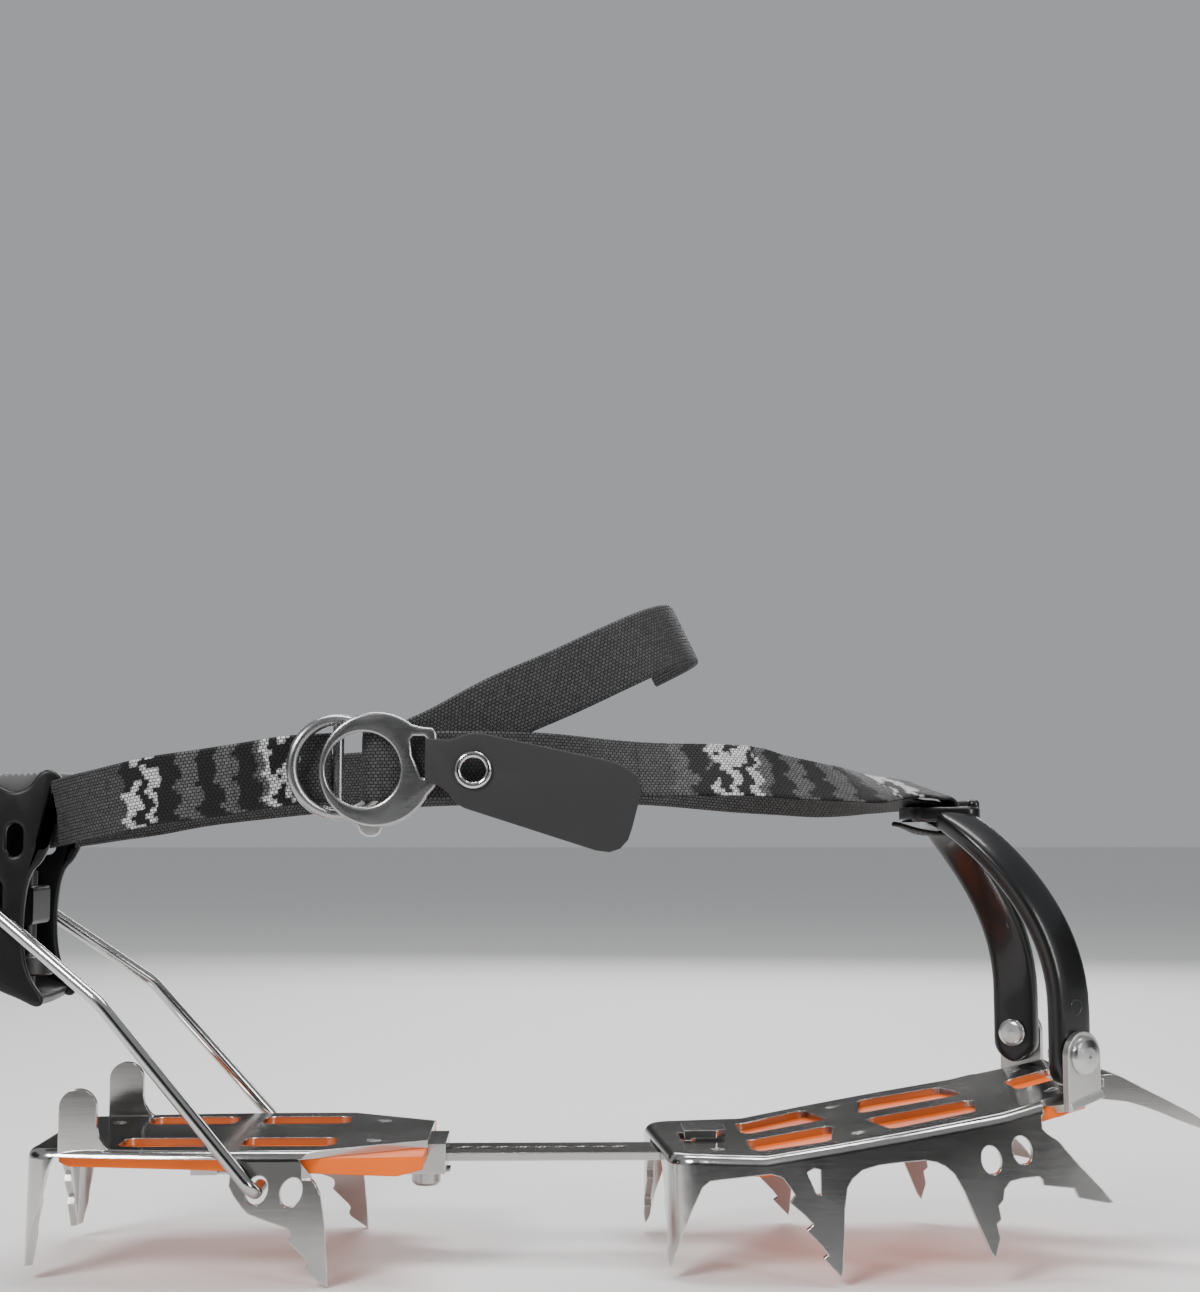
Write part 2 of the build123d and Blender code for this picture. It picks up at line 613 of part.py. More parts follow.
with BuildPart() as lever_grip:
    with BuildSketch(Plane.XZ.offset(-16.9)):
        outline((-183.9, 140.1), (-168.1, 140.1), (-168.1, 149.4), (-170, 149.4), (-171, 148.6), (-173, 148.6),
                (-174, 149.2), (-176, 149.0), (-177, 148.0), (-179, 147.8), (-180, 148.2), (-183.9, 147.0))
    extrude(amount=33.8)
save(lever_grip, "lever_grip")

with BuildPart() as adjuster_block:
    with Locations((-178.5, 0, lever_hinge[1])):
        Box(13, 20, 12)
    fillet(adjuster_block.edges().filter_by(Axis.Y), 1.5)
    with BuildSketch(Plane.XZ.offset(-15)):
        with Locations(lever_hinge):
            Circle(wire_diameter / 2 + gap)
    extrude(amount=30, mode=Mode.SUBTRACT)
    with BuildSketch(Plane.XY.offset(90)):
        with Locations((screw_x, 0)):
            Circle(2.6)
    extrude(amount=40, mode=Mode.SUBTRACT)
save(adjuster_block, "adjuster_block")

with BuildPart() as adjuster_screw:
    add(spun(Plane((screw_x, 0, 79)), [(0, 1), (2, 1), (2.5, 1.5), (2.5, 7), (7.5, 7), (8, 7.5), (8, 12.5), (7.5, 13),
                                       (2.5, 13), (2.5, 39), (1.5, 40), (0, 40)]))
save(adjuster_screw, "adjuster_screw")

# ---------------------------------------------------------------- buckle

ring_middle, ring_turn, ring_radius, ring_wire = Vector(-74.7, -53, 148.8), radians(20), 13.55, 1.7
with BuildPart() as buckle_ring:
    ring_face = Plane(ring_middle, x_dir=(cos(ring_turn), sin(ring_turn), 0), z_dir=(sin(ring_turn), -cos(ring_turn), 0))
    with BuildSketch(Plane(ring_middle, x_dir=ring_face.x_dir, z_dir=(0, 0, 1))):
        with Locations((ring_radius, 0)):
            Circle(ring_wire)
    revolve(axis=Axis(ring_middle, ring_face.z_dir))
    with BuildSketch(Plane(ring_middle - Vector(0, 0, ring_radius))):
        Circle(1.6)
    extrude(amount=2 * ring_radius)
save(buckle_ring, "buckle_ring")

release_face, release_thick = 57.6, 1.6
with BuildPart() as release_ring:
    with BuildSketch(Plane.XZ.offset(release_face)):
        with Locations((-63.5, 148)):
            Circle(16.5)
        with Locations((-53.5, 151.5)):
            RectangleRounded(14, 17.5, 2)
        with Locations((-66, 130)):
            Rectangle(7, 6)
        with Locations((-67, 148)):
            Circle(11.2, mode=Mode.SUBTRACT)
        with Locations((-51.7, 151.5)):
            RectangleRounded(5.4, 13, 1, mode=Mode.SUBTRACT)
    extrude(amount=-release_thick)
    with BuildSketch(Plane.XY.offset(127)):
        with Locations((-66, -release_face - 1.2)):
            Rectangle(7, 4)
    extrude(amount=1.6)
save(release_ring, "release_ring")

tab_face = release_face + 0.6
with BuildPart() as pull_tab:
    with BuildSketch(Plane.XZ.offset(tab_face)):
        outline((-53, 155.6), (-42.6, 156.2), (-37.9, 158.1), (-33.6, 158.7), (-13.9, 154.6), (4, 151.2),
                (12.1, 146.7), (12.5, 143.4), (10, 132.7), (2.8, 124.4), (-10.4, 128.4), (-38, 137.4), (-44.6, 141.8), (-45.6, 146.6), (-53, 147.2))
        fillet(vertices(), 0.9)
        with Locations((-35.6, 147.8)):
            Circle(4.6, mode=Mode.SUBTRACT)
    extrude(amount=1.6)
    # the hook behind the ring's bar
    with BuildSketch(Plane.XY.offset(147)):
        outline((-53, -tab_face - 1), (-51.8, -tab_face - 1), (-51.8, 1.8 - release_face), (-47.5, 1.8 - release_face),
                (-47.5, 3.0 - release_face), (-53, 3.0 - release_face))
    extrude(amount=9)
save(pull_tab, "pull_tab")

with BuildPart() as pull_tab_eyelet:
    add(spun(Plane((-35.6, -tab_face + 0.1, 147.8), x_dir=(1, 0, 0), z_dir=(0, -1, 0)), [
        (3.5, -0.6), (5.2, -0.6), (5.2, 0), (4.5, 0), (4.5, 1.8), (5.6, 1.8), (5.4, 2.5), (4.4, 2.9), (3.5, 2.4)]))
save(pull_tab_eyelet, "pull_tab_eyelet")

# ---------------------------------------------------------------- straps


def ribbon(*stations):
    """A strap through places given as (x, y, z) and the direction of its width there."""
    middles = [Vector(*place) for place, wide in stations]
    with BuildPart() as band:
        for number, (middle, (place, wide)) in enumerate(zip(middles, stations)):
            ahead = (middles[min(number + 1, len(middles) - 1)] - middles[max(number - 1, 0)]).normalized()
            wide = Vector(*wide)
            with BuildSketch(Plane(middle, x_dir=wide - ahead * wide.dot(ahead), z_dir=ahead)):
                Rectangle(strap_wide, strap_thick)
        loft(ruled=True)
    return band


upright = (0, 0, 1)
with BuildPart() as heel_strap:
    add(ribbon(((-163.5, -25.5, 136.5), upright), ((-156, -33, 137.5), upright), ((-145, -41, 139), upright),
               ((-130, -46.5, 142), upright), ((-115, -50, 144), upright), ((-100, -52.5, 146.2), upright),
               ((-87, -53.2, 148), upright), ((-80.5, -53.2, 148.3), upright)))
save(heel_strap, "heel_strap")

with BuildPart() as toe_strap:
    add(ribbon(((-67, -54, 149), upright), ((-50, -53, 149.3), (0, 0.03, 1)), ((-19.5, -49.5, 149.5), (0, 0.2, 1)),
               ((13, -44, 148.6), (0, 0.7, 1)), ((45, -38.5, 148.4), (0, 0.85, 1)), ((59, -34.5, 146.5), (0, 1.15, 1)),
               ((75, -28.5, 144.8), (0, 1.7, 1)), ((86, -20, 144.3), (0, 2.7, 1)), ((96, -11, 144.2), (0, 4.0, 1))))
save(toe_strap, "toe_strap")

with BuildPart() as far_strap:
    add(ribbon(((-163.5, 25.5, 136.5), upright), ((-156, 33, 137.5), upright), ((-145, 41, 139), upright),
               ((-130, 47.5, 142), upright), ((-110, 53, 144.5), upright), ((-85, 56, 147), upright),
               ((-50, 56.5, 149), upright), ((-20, 55.5, 149.5), upright), ((12.8, 52, 149.5), upright),
               ((35, 47, 148), upright), ((67, 39.5, 146), (0, -0.1, 1)), ((84, 31, 142), (0, -0.3, 1)),
               ((93, 22, 137), (0, -0.6, 1))))
save(far_strap, "far_strap")

instep_lean = (-0.44, 0, 0.9)
with BuildPart() as tail_strap:
    add(ribbon(*[(place, instep_lean) for place in (
        (-44, -46.0, 157.5), (-28, -45.6, 166.3), (-10, -45.0, 174.3), (4.5, -42, 181.3), (16, -35, 187), (24, -24, 190.5),
        (28, -10, 192), (28.5, 4, 192), (26, 18, 191), (18, 31, 187.5))]))
save(tail_strap, "tail_strap")
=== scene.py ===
"""The looks of a crampon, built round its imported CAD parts."""
import math

import bmesh
import bpy
import numpy as np
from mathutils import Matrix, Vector, noise


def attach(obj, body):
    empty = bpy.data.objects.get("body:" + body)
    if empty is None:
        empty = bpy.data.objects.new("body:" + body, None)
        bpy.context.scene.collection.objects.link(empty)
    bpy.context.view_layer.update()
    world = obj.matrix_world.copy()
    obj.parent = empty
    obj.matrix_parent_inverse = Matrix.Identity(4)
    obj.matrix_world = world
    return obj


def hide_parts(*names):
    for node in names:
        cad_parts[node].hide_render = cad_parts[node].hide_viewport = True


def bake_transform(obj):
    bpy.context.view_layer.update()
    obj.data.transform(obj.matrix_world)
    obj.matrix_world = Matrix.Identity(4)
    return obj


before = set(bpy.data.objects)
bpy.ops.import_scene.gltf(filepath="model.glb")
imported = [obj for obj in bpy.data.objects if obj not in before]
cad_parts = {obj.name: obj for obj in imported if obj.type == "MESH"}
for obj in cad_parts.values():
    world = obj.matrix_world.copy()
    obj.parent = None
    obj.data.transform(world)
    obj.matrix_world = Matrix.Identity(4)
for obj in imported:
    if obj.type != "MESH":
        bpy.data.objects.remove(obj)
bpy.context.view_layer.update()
MM = 0.001
SHARP_EDGE = 1.2      # the angle in radians from which a plate's edge is rounded
X, Y, Z = Vector((1, 0, 0)), Vector((0, 1, 0)), Vector((0, 0, 1))


# ---------------------------------------------------------------- camera, lights and floor

def look(obj, place, target):
    """Put an object at a place and turn its -Z axis to a target."""
    obj.location = place
    obj.rotation_euler = (Vector(target) - Vector(place)).to_track_quat("-Z", "Y").to_euler()


def make_camera():
    """The camera stands level with the upper, close by, and looks slightly up."""
    turn, tilt = math.radians(1.6), math.radians(5.4)
    place = Vector((-0.015, -0.620, 0.1305))
    ahead = Vector((math.sin(turn) * math.cos(tilt), math.cos(turn) * math.cos(tilt), math.sin(tilt)))
    data = bpy.data.cameras.new("camera")
    data.sensor_fit = "HORIZONTAL"
    data.sensor_width = 36
    data.lens = 58.65
    data.clip_start = 0.01
    camera = bpy.data.objects.new("camera", data)
    bpy.context.scene.collection.objects.link(camera)
    look(camera, place, place + ahead)
    bpy.context.scene.camera = camera


def area_light(name, place, target, wide, high, power):
    data = bpy.data.lights.new(name, "AREA")
    data.shape = "RECTANGLE"
    data.size, data.size_y = wide, high
    data.energy = power
    light = bpy.data.objects.new(name, data)
    bpy.context.scene.collection.objects.link(light)
    look(light, place, target)


def dark_card(name, place, target, wide, high):
    """A black card that is only seen as a reflection in polished metal, as a photographer's flag is."""
    bpy.ops.mesh.primitive_plane_add(size=1)
    card = bpy.context.object
    card.name = name
    card.scale = (wide, high, 1)
    look(card, place, target)
    card.data.materials.append(plain_material(name, (0.012, 0.012, 0.012), 0.9))
    card.visible_camera = card.visible_shadow = card.visible_diffuse = False


def make_studio():
    """Soft lights, black cards that give the metal its dark reflections, a grey world and a pale floor."""
    middle = (0, 0, 0.09)
    area_light("key", (-0.75, -0.9, 1.0), middle, 0.45, 0.4, 17)
    area_light("fill", (1.0, -0.9, 0.5), middle, 0.25, 0.6, 6)
    area_light("top", (0.1, 0.15, 1.2), middle, 1.1, 0.22, 12)
    area_light("rim", (0.2, 1.2, 0.6), middle, 1.0, 0.3, 8)
    dark_card("front_flag", (0.05, -1.05, 0.36), (0.05, 0, 0.36), 1.5, 0.52)
    dark_card("floor_flag", (0.05, -0.70, 0.004), (0.05, -0.70, 1), 1.5, 0.72)
    dark_card("back_flag", (0.0, 1.0, 0.30), (0, 0, 0.30), 1.6, 0.4)
    dark_card("heel_flag", (-1.0, 0.1, 0.35), (0, 0, 0.35), 0.8, 0.5)
    dark_card("toe_flag", (1.05, 0.1, 0.30), (0, 0, 0.30), 0.8, 0.4)
    world = bpy.data.worlds.new("studio")
    world.use_nodes = True
    world.node_tree.nodes["Background"].inputs[0].default_value = (0.60, 0.61, 0.63, 1)
    world.node_tree.nodes["Background"].inputs[1].default_value = 0.62
    bpy.context.scene.world = world
    bpy.ops.mesh.primitive_plane_add(size=30)
    floor = bpy.context.object
    floor.name = "floor"
    floor.data.materials.append(plain_material("floor", (0.80, 0.80, 0.79), 0.7))


# ---------------------------------------------------------------- materials

class Nodes:
    """A new material's shader and a few short ways to add nodes to it."""

    def __init__(self, name):
        self.material = bpy.data.materials.new(name)
        self.material.use_nodes = True
        self.tree = self.material.node_tree
        self.shader = self.tree.nodes["Principled BSDF"]

    def add(self, kind, inputs=None, **settings):
        node = self.tree.nodes.new(kind)
        for key, value in settings.items():
            setattr(node, key, value)
        for key, value in (inputs or {}).items():
            self.put(node.inputs[key], value)
        return node

    def put(self, socket, value):
        """Link a socket's value from a node's output, or set it."""
        if isinstance(value, bpy.types.NodeSocket):
            self.tree.links.new(value, socket)
        elif isinstance(value, (tuple, list)) and len(value) == 3 and socket.type == "RGBA":
            socket.default_value = (*value, 1)
        else:
            socket.default_value = value

    def set(self, **values):
        for key, value in values.items():
            self.put(self.shader.inputs[key.replace("_", " ")], value)

    def object_coordinates(self):
        return self.add("ShaderNodeTexCoord").outputs["Object"]

    def noise(self, scale, detail=3.0, roughness=0.55, vector=None):
        inputs = {"Scale": scale, "Detail": detail, "Roughness": roughness}
        inputs["Vector"] = vector or self.object_coordinates()
        return self.add("ShaderNodeTexNoise", inputs).outputs["Fac"]

    def stretched(self, scale):
        """Object coordinates, scaled by (x, y, z)."""
        return self.add("ShaderNodeMapping", {"Vector": self.object_coordinates(), "Scale": scale}).outputs[0]

    def spread(self, fac, low, high):
        """A 0 to 1 value mapped to a range."""
        return self.add("ShaderNodeMapRange", {"Value": fac, "To Min": low, "To Max": high}).outputs[0]

    def mix(self, fac, a, b):
        node = self.add("ShaderNodeMix", data_type="RGBA")
        self.put(node.inputs[0], fac)
        self.put(node.inputs[6], a)
        self.put(node.inputs[7], b)
        return node.outputs[2]

    def ramp(self, fac, *stops):
        node = self.add("ShaderNodeValToRGB", {"Fac": fac})
        elements = node.color_ramp.elements
        while len(elements) < len(stops):
            elements.new(0.5)
        for element, (place, colour) in zip(elements, stops):
            element.position = place
            element.color = (*colour, 1)
        return node.outputs[0]

    def bump(self, height, strength, distance, normal=None):
        inputs = {"Height": height, "Strength": strength, "Distance": distance}
        if normal is not None:
            inputs["Normal"] = normal
        return self.add("ShaderNodeBump", inputs).outputs[0]

    def bevel(self, radius):
        return self.add("ShaderNodeBevel", {"Radius": radius}, samples=4).outputs[0]

    def edge_wear(self, radius=0.0006):
        """0 on flat stretches, rising to 1 on edges that rub."""
        soft = self.bevel(radius)
        hard = self.add("ShaderNodeNewGeometry").outputs["Normal"]
        same = self.add("ShaderNodeVectorMath", operation="DOT_PRODUCT")
        self.put(same.inputs[0], soft)
        self.put(same.inputs[1], hard)
        return self.add("ShaderNodeMapRange", {"Value": same.outputs["Value"], "From Min": 0.995, "From Max": 0.85,
                                               "To Min": 0.0, "To Max": 1.0}).outputs[0]


def plain_material(name, colour, roughness):
    n = Nodes(name)
    n.set(Base_Color=colour, Roughness=roughness)
    return n.material


def steel(name, colour, roughness, grain=0.25, edge=0.0004, scratches=0.5):
    """Polished or satin metal: rolling grain along X, cloudy roughness, crossing scratches and brighter edges."""
    n = Nodes(name)
    grain_fac = n.noise(900, 2, 0.7, n.stretched((0.06, 1, 1)))
    cloud = n.noise(30, 5, 0.65)
    stain = n.ramp(n.noise(14, 3, 0.5), (0.35, (0, 0, 0)), (0.75, (1, 1, 1)))
    dark = tuple(0.62 * c for c in colour)
    tone = n.mix(stain, dark, colour)
    tone = n.mix(n.edge_wear(), tone, tuple(min(1.0, 1.35 * c) for c in colour))
    rough = n.add("ShaderNodeMath", {0: n.spread(cloud, roughness * 0.6, roughness * 1.35),
                                     1: n.spread(grain_fac, -0.04, 0.04)}, operation="ADD").outputs[0]
    height = grain_fac
    for number, (turn, density) in enumerate(((0.5, 70.0), (-0.8, 55.0), (1.3, 62.0))):
        way = n.add("ShaderNodeMapping", {"Vector": n.object_coordinates(), "Rotation": (0, turn, turn * 0.4),
                                          "Location": (number, 0, 0), "Scale": (0.09, 1, 1)}).outputs[0]
        line = n.ramp(n.noise(density * 22, 0, 0.5, way), (0.20, (1, 1, 1)), (0.24, (0, 0, 0)))
        height = n.add("ShaderNodeMath", {0: height, 1: n.spread(line, 0, -scratches)}, operation="ADD").outputs[0]
    normal = n.bump(height, grain, 0.00004, n.bevel(edge))
    n.set(Base_Color=tone, Metallic=1.0, Roughness=rough, Normal=normal)
    return n.material


def moulded(name, colour, roughness, coat=0.0, texture=0.12, texture_scale=1400, edge=0.0006):
    """Moulded plastic: fine skin texture, slight colour drift, scuffs and paler rubbed edges."""
    n = Nodes(name)
    cloud = n.noise(28, 4, 0.6)
    scuff = n.noise(300, 5, 0.7, n.stretched((0.25, 1, 1)))
    tone = n.mix(cloud, tuple(0.82 * c for c in colour), tuple(1.12 * c for c in colour))
    tone = n.mix(n.spread(n.edge_wear(), 0, 0.35), tone, tuple(min(1.0, c * 1.5 + 0.03) for c in colour))
    rough = n.spread(scuff, roughness * 0.8, roughness * 1.25)
    skin = n.noise(texture_scale, 2, 0.5)
    n.set(Base_Color=tone, Roughness=rough, Normal=n.bump(skin, texture, 0.00006, n.bevel(edge)))
    n.shader.inputs["Specular IOR Level"].default_value = 0.3 + 0.3 * coat
    n.shader.inputs["Coat Weight"].default_value = coat
    n.shader.inputs["Coat Roughness"].default_value = 0.08
    return n.material


def webbing_material():
    """Woven webbing: staggered beads laid by the mesh's own lengths along and across, in the yarns' colours, with
    painted shade darkening the gaps between beads.
    """
    n = Nodes("webbing")
    yarn = n.add("ShaderNodeAttribute", attribute_name="yarn").outputs["Color"]
    place = n.add("ShaderNodeAttribute", attribute_name="weave").outputs["Vector"]
    fibre = n.noise(2600, 3, 0.7)
    uneven = n.add("ShaderNodeVectorMath", {0: place, 1: n.spread(n.noise(500, 1, 0.5), -0.12, 0.12)}, operation="ADD")
    # the brick pattern's two colours give each bead a random tone; its dark mortar is painted shade in the gaps
    # between beads
    brick = n.add("ShaderNodeTexBrick", {
        "Vector": uneven.outputs[0], "Color1": (1, 1, 1), "Color2": (0.62, 0.62, 0.62), "Mortar": (0.03, 0.03, 0.03),
        "Scale": 1.0, "Mortar Size": 0.16, "Mortar Smooth": 1.0, "Bias": 0.0, "Brick Width": 1.0,
        "Row Height": 1.0}, offset=0.5, squash=1.0)
    # the yarns' colours multiplied by the bricks, which paints shade into the gaps between beads
    yarn_with_gap_shade = n.add("ShaderNodeMix", data_type="RGBA", blend_type="MULTIPLY")
    n.put(yarn_with_gap_shade.inputs[0], 1.0)
    n.put(yarn_with_gap_shade.inputs[6], yarn)
    n.put(yarn_with_gap_shade.inputs[7], brick.outputs["Color"])
    tone = n.mix(n.spread(fibre, 0, 0.4), yarn_with_gap_shade.outputs[2], (0.0, 0.0, 0.0))
    normal = n.bump(n.spread(brick.outputs["Fac"], 1, 0), 0.9, 0.0003)
    n.set(Base_Color=tone, Roughness=0.62, Specular_IOR_Level=0.3, Normal=n.bump(fibre, 0.3, 0.0001, normal))
    return n.material


MATERIALS = {
    "steel": steel("stainless_steel", (0.60, 0.585, 0.57), 0.16, grain=0.10, scratches=0.35),
    "wire": steel("wire_steel", (0.66, 0.655, 0.65), 0.13, grain=0.12, scratches=0.2),
    "rivet": steel("rivet_steel", (0.68, 0.68, 0.67), 0.24, edge=0.0009),
    "post": steel("post_steel", (0.70, 0.69, 0.67), 0.36, grain=0.5),
    "ring": steel("ring_steel", (0.46, 0.46, 0.465), 0.30, grain=0.05, edge=0.0004, scratches=0.2),
    "chrome": steel("chrome", (0.78, 0.78, 0.78), 0.10, grain=0.05, scratches=0.1),
    "orange": moulded("orange_plastic", (0.90, 0.145, 0.003), 0.46, coat=0.02),
    "bail": moulded("bail_plastic", (0.005, 0.005, 0.0055), 0.30, coat=0.25, texture=0.05),
    "lever": moulded("lever_plastic", (0.008, 0.008, 0.0085), 0.36, texture=0.2),
    "grip": moulded("grip_plastic", (0.10, 0.10, 0.10), 0.5, texture=0.3),
    "tab": moulded("tab_coating", (0.027, 0.027, 0.028), 0.6, texture=0.6, texture_scale=1100),
    "dark": steel("dark_steel", (0.10, 0.10, 0.10), 0.35),
    "webbing": webbing_material(),
}
# the CAD nodes that stay visible
NODE_MATERIALS = {
    "steel": ("front_section", "rear_section", "linking_bar", "bar_guides", "lock_spring"),
    "wire": ("heel_bail_wire",),
    "rivet": ("front_plate_rivets", "rear_plate_rivets", "bail_rivets", "lock_pin"),
    "dark": ("adjuster_screw", "adjuster_block"),
    "post": ("toe_posts",),
    "orange": ("front_antiball_plate", "rear_antiball_plate"),
    "ring": ("buckle_ring",),
}


def paint(obj, material):
    obj.data.materials.clear()
    obj.data.materials.append(MATERIALS[material])


def smooth_by_angle(obj, degrees):
    """Smooth shading except across edges sharper than an angle."""
    mesh = obj.data
    work = bmesh.new()
    work.from_mesh(mesh)
    for face in work.faces:
        face.smooth = True
    for edge in work.edges:
        edge.smooth = len(edge.link_faces) == 2 and edge.calc_face_angle() < math.radians(degrees)
    work.to_mesh(mesh)
    work.free()


def new_object(name, vertices, faces):
    """A smooth-shaded mesh object from vertices in metres."""
    mesh = bpy.data.meshes.new(name)
    mesh.from_pydata([tuple(v) for v in vertices], [], faces)
    mesh.update()
    mesh.polygons.foreach_set("use_smooth", [True] * len(mesh.polygons))
    obj = bpy.data.objects.new(name, mesh)
    bpy.context.scene.collection.objects.link(obj)
    return obj


# ---------------------------------------------------------------- plates and their outlines

def arc(middle, radius, start, finish, steps):
    """Points on an arc, from one angle to another in degrees."""
    return [(middle[0] + radius * math.cos(math.radians(a)), middle[1] + radius * math.sin(math.radians(a)))
            for a in np.linspace(start, finish, steps)]


def rounded_loop(middle, size, radius, steps=8):
    """Points round a rectangle with rounded corners."""
    points = []
    for number, (sx, sy) in enumerate(((1, 1), (-1, 1), (-1, -1), (1, -1))):
        corner = (middle[0] + sx * (size[0] / 2 - radius), middle[1] + sy * (size[1] / 2 - radius))
        points += arc(corner, radius, 90 * number, 90 * (number + 1), steps + 1)
    return points


def cut_plate(name, loops, place, across, up, thick, edge, segments):
    """A flat plate cut from closed loops, the outline first, thickened both ways from a plane, with rounded edges."""
    work = bmesh.new()
    normal = across.cross(up)
    for shift in (-thick / 2, thick / 2):
        edges = []
        for points in loops:
            corners = [work.verts.new((place + across * u + up * v + normal * shift) * MM) for u, v in points]
            edges += [work.edges.new((corners[k], corners[(k + 1) % len(corners)])) for k in range(len(corners))]
        bmesh.ops.triangle_fill(work, use_beauty=True, use_dissolve=True, edges=edges, normal=normal)
    work.verts.ensure_lookup_table()
    half, start = len(work.verts) // 2, 0
    for points in loops:
        for k in range(len(points)):
            a, b = start + k, start + (k + 1) % len(points)
            work.faces.new([work.verts[v] for v in (a, b, b + half, a + half)])
        start += len(points)
    bmesh.ops.recalc_face_normals(work, faces=work.faces)
    sharp = [e for e in work.edges if len(e.link_faces) == 2 and e.calc_face_angle() > SHARP_EDGE]
    bmesh.ops.bevel(work, geom=sharp, offset=edge * MM, segments=segments, profile=0.5, affect="EDGES")
    mesh = bpy.data.meshes.new(name)
    work.to_mesh(mesh)
    work.free()
    obj = bpy.data.objects.new(name, mesh)
    bpy.context.scene.collection.objects.link(obj)
    return obj


def plate_with_holes(name, outline, holes, place, across, up, thick, edge):
    """A plate with holes and crisp, slightly rounded edges, in any plane."""
    obj = cut_plate(name, [outline] + holes, place, across, up, thick, edge, 3)
    smooth_by_angle(obj, 40)
    return obj


def rounded_plate(name, middle, size, radius, low, thick, edge, hole=None):
    """A level plate with rounded corners and soft edges, with an optional rounded hole."""
    loops = [rounded_loop(middle, size, radius)] + ([rounded_loop(*hole)] if hole else [])
    obj = cut_plate(name, loops, Z * (low + thick / 2), X, Y, thick, edge, 4)
    obj.data.polygons.foreach_set("use_smooth", [True] * len(obj.data.polygons))
    return obj


# ---------------------------------------------------------------- webbing

STRAP_WIDE, STRAP_THICK = 20.0, 1.5
YARNS, BEAD = 21, 1.25      # yarns across the webbing, and a bead's length in millimetres
BEAD_DEPTH = 0.12
FLAT_POWER, SELVEDGE = 14, 0.2      # how square the webbing's section is, and the part of its thickness at its edges
FINE_STEPS = 24                     # points that a curve's length is measured on, between two given places
BLACK_YARN, DARK_YARN, GREY_YARN, WHITE_YARN = (0.008,) * 3, (0.075,) * 3, (0.12,) * 3, (0.80,) * 3


def spline_point(a, b, c, d, t):
    """The point at t, from 0 to 1, on the smooth curve from b to c."""
    return 0.5 * ((2 * b) + (c - a) * t + (2 * a - 5 * b + 4 * c - d) * t ** 2 + (3 * b - a - 3 * c + d) * t ** 3)


def curve_through(points, step):
    """Evenly spaced points on a smooth curve through all the given rows of numbers; its arc length is on x, y, z."""
    points = np.array(points, float)
    padded = np.vstack([2 * points[0] - points[1], points, 2 * points[-1] - points[-2]])
    fine = [spline_point(a, b, c, d, t) for a, b, c, d in zip(padded, padded[1:], padded[2:], padded[3:])
            for t in np.linspace(0, 1, FINE_STEPS, endpoint=False)]
    fine = np.array(fine + [points[-1]])
    run = np.concatenate([[0], np.cumsum(np.linalg.norm(np.diff(fine[:, :3], axis=0), axis=1))])
    count = max(int(round(run[-1] / step)), 2)
    want = np.linspace(0, run[-1], count + 1)
    return np.stack([np.interp(want, run, fine[:, k]) for k in range(fine.shape[1])], 1), want


def plain_yarn(x, across):
    """The colour of every yarn in plain webbing."""
    return DARK_YARN


def motif(white, grey):
    """A woven camouflage of blots: white yarns inside the first ranges of X, grey and black inside the others."""
    def colour(x, across):
        step = 1.4 * round(across / 1.4)
        jag = x + 1.5 * abs((step * 0.55) % 4 - 2) + 1.3 * noise.noise(Vector((7.1, step * 0.9, 0.5)))
        blot = noise.noise(Vector((jag / 3.4, step / 5.2, 3.7)))
        bar = math.sin(jag / 1.9 + 1.4 * noise.noise(Vector((x / 8, step / 7, 1.3))))
        if any(low < jag < high for low, high in white):
            return WHITE_YARN if blot > -0.05 else BLACK_YARN
        if any(low < jag < high for low, high in grey):
            return GREY_YARN if bar > 0.05 else BLACK_YARN
        return DARK_YARN
    return colour


def webbing(name, stations, chain, node, colour=plain_yarn):
    """Webbing through stations (x, y, z, width direction) in millimetres, cut where it passes from joint to joint.
    chain is a list of (body, second body or None, X where the bend would start, which is not read, X where it ends and
    the next piece begins); a piece rides on its body when there is no second body, and otherwise stays where it is."""
    rows, along = curve_through([(*place, *direction) for place, direction in stations], BEAD / 2)
    middle, direction = rows[:, :3], rows[:, 3:]
    ahead = np.gradient(middle, axis=0)
    ahead /= np.linalg.norm(ahead, axis=1)[:, None]
    direction -= ahead * (direction * ahead).sum(1)[:, None]
    direction /= np.linalg.norm(direction, axis=1)[:, None]
    out = np.cross(ahead, direction)
    columns = np.linspace(-1, 1, YARNS * 2 + 1)
    flat = np.sqrt(np.clip(1 - np.abs(columns) ** FLAT_POWER, 0, 1)) * (1 - SELVEDGE) + SELVEDGE
    first = 0
    for number, (body_a, body_b, bend_start, bend_end) in enumerate(chain):
        last = len(middle) - 1
        if number < len(chain) - 1:
            last = int(np.argmax(middle[:, 0] >= bend_end))
        span = range(first, last + 1)
        vertices, weave, yarn = [], [], []
        for face in (1, -1):
            for i in span:
                for j, column in enumerate(columns):
                    lift = face * (STRAP_THICK / 2 * flat[j] - BEAD_DEPTH * ((i + j) % 2))
                    vertices.append((middle[i] + direction[i] * column * STRAP_WIDE / 2 + out[i] * lift) * MM)
                    weave.append((along[i] / BEAD, (column + 1) * YARNS / 2, 0))
                    yarn.append((*colour(middle[i][0], column * STRAP_WIDE / 2), 1))
        obj = new_object(f"{name}_{number + 1}", vertices, strip_faces(len(span), len(columns)))
        obj.data.attributes.new("weave", "FLOAT_VECTOR", "POINT").data.foreach_set("vector", np.array(weave).ravel())
        obj.data.color_attributes.new("yarn", "FLOAT_COLOR", "POINT").data.foreach_set("color", np.array(yarn).ravel())
        paint(obj, "webbing")
        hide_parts(node)
        if body_b:
            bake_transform(obj)
        else:
            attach(obj, body_a)
        first = last


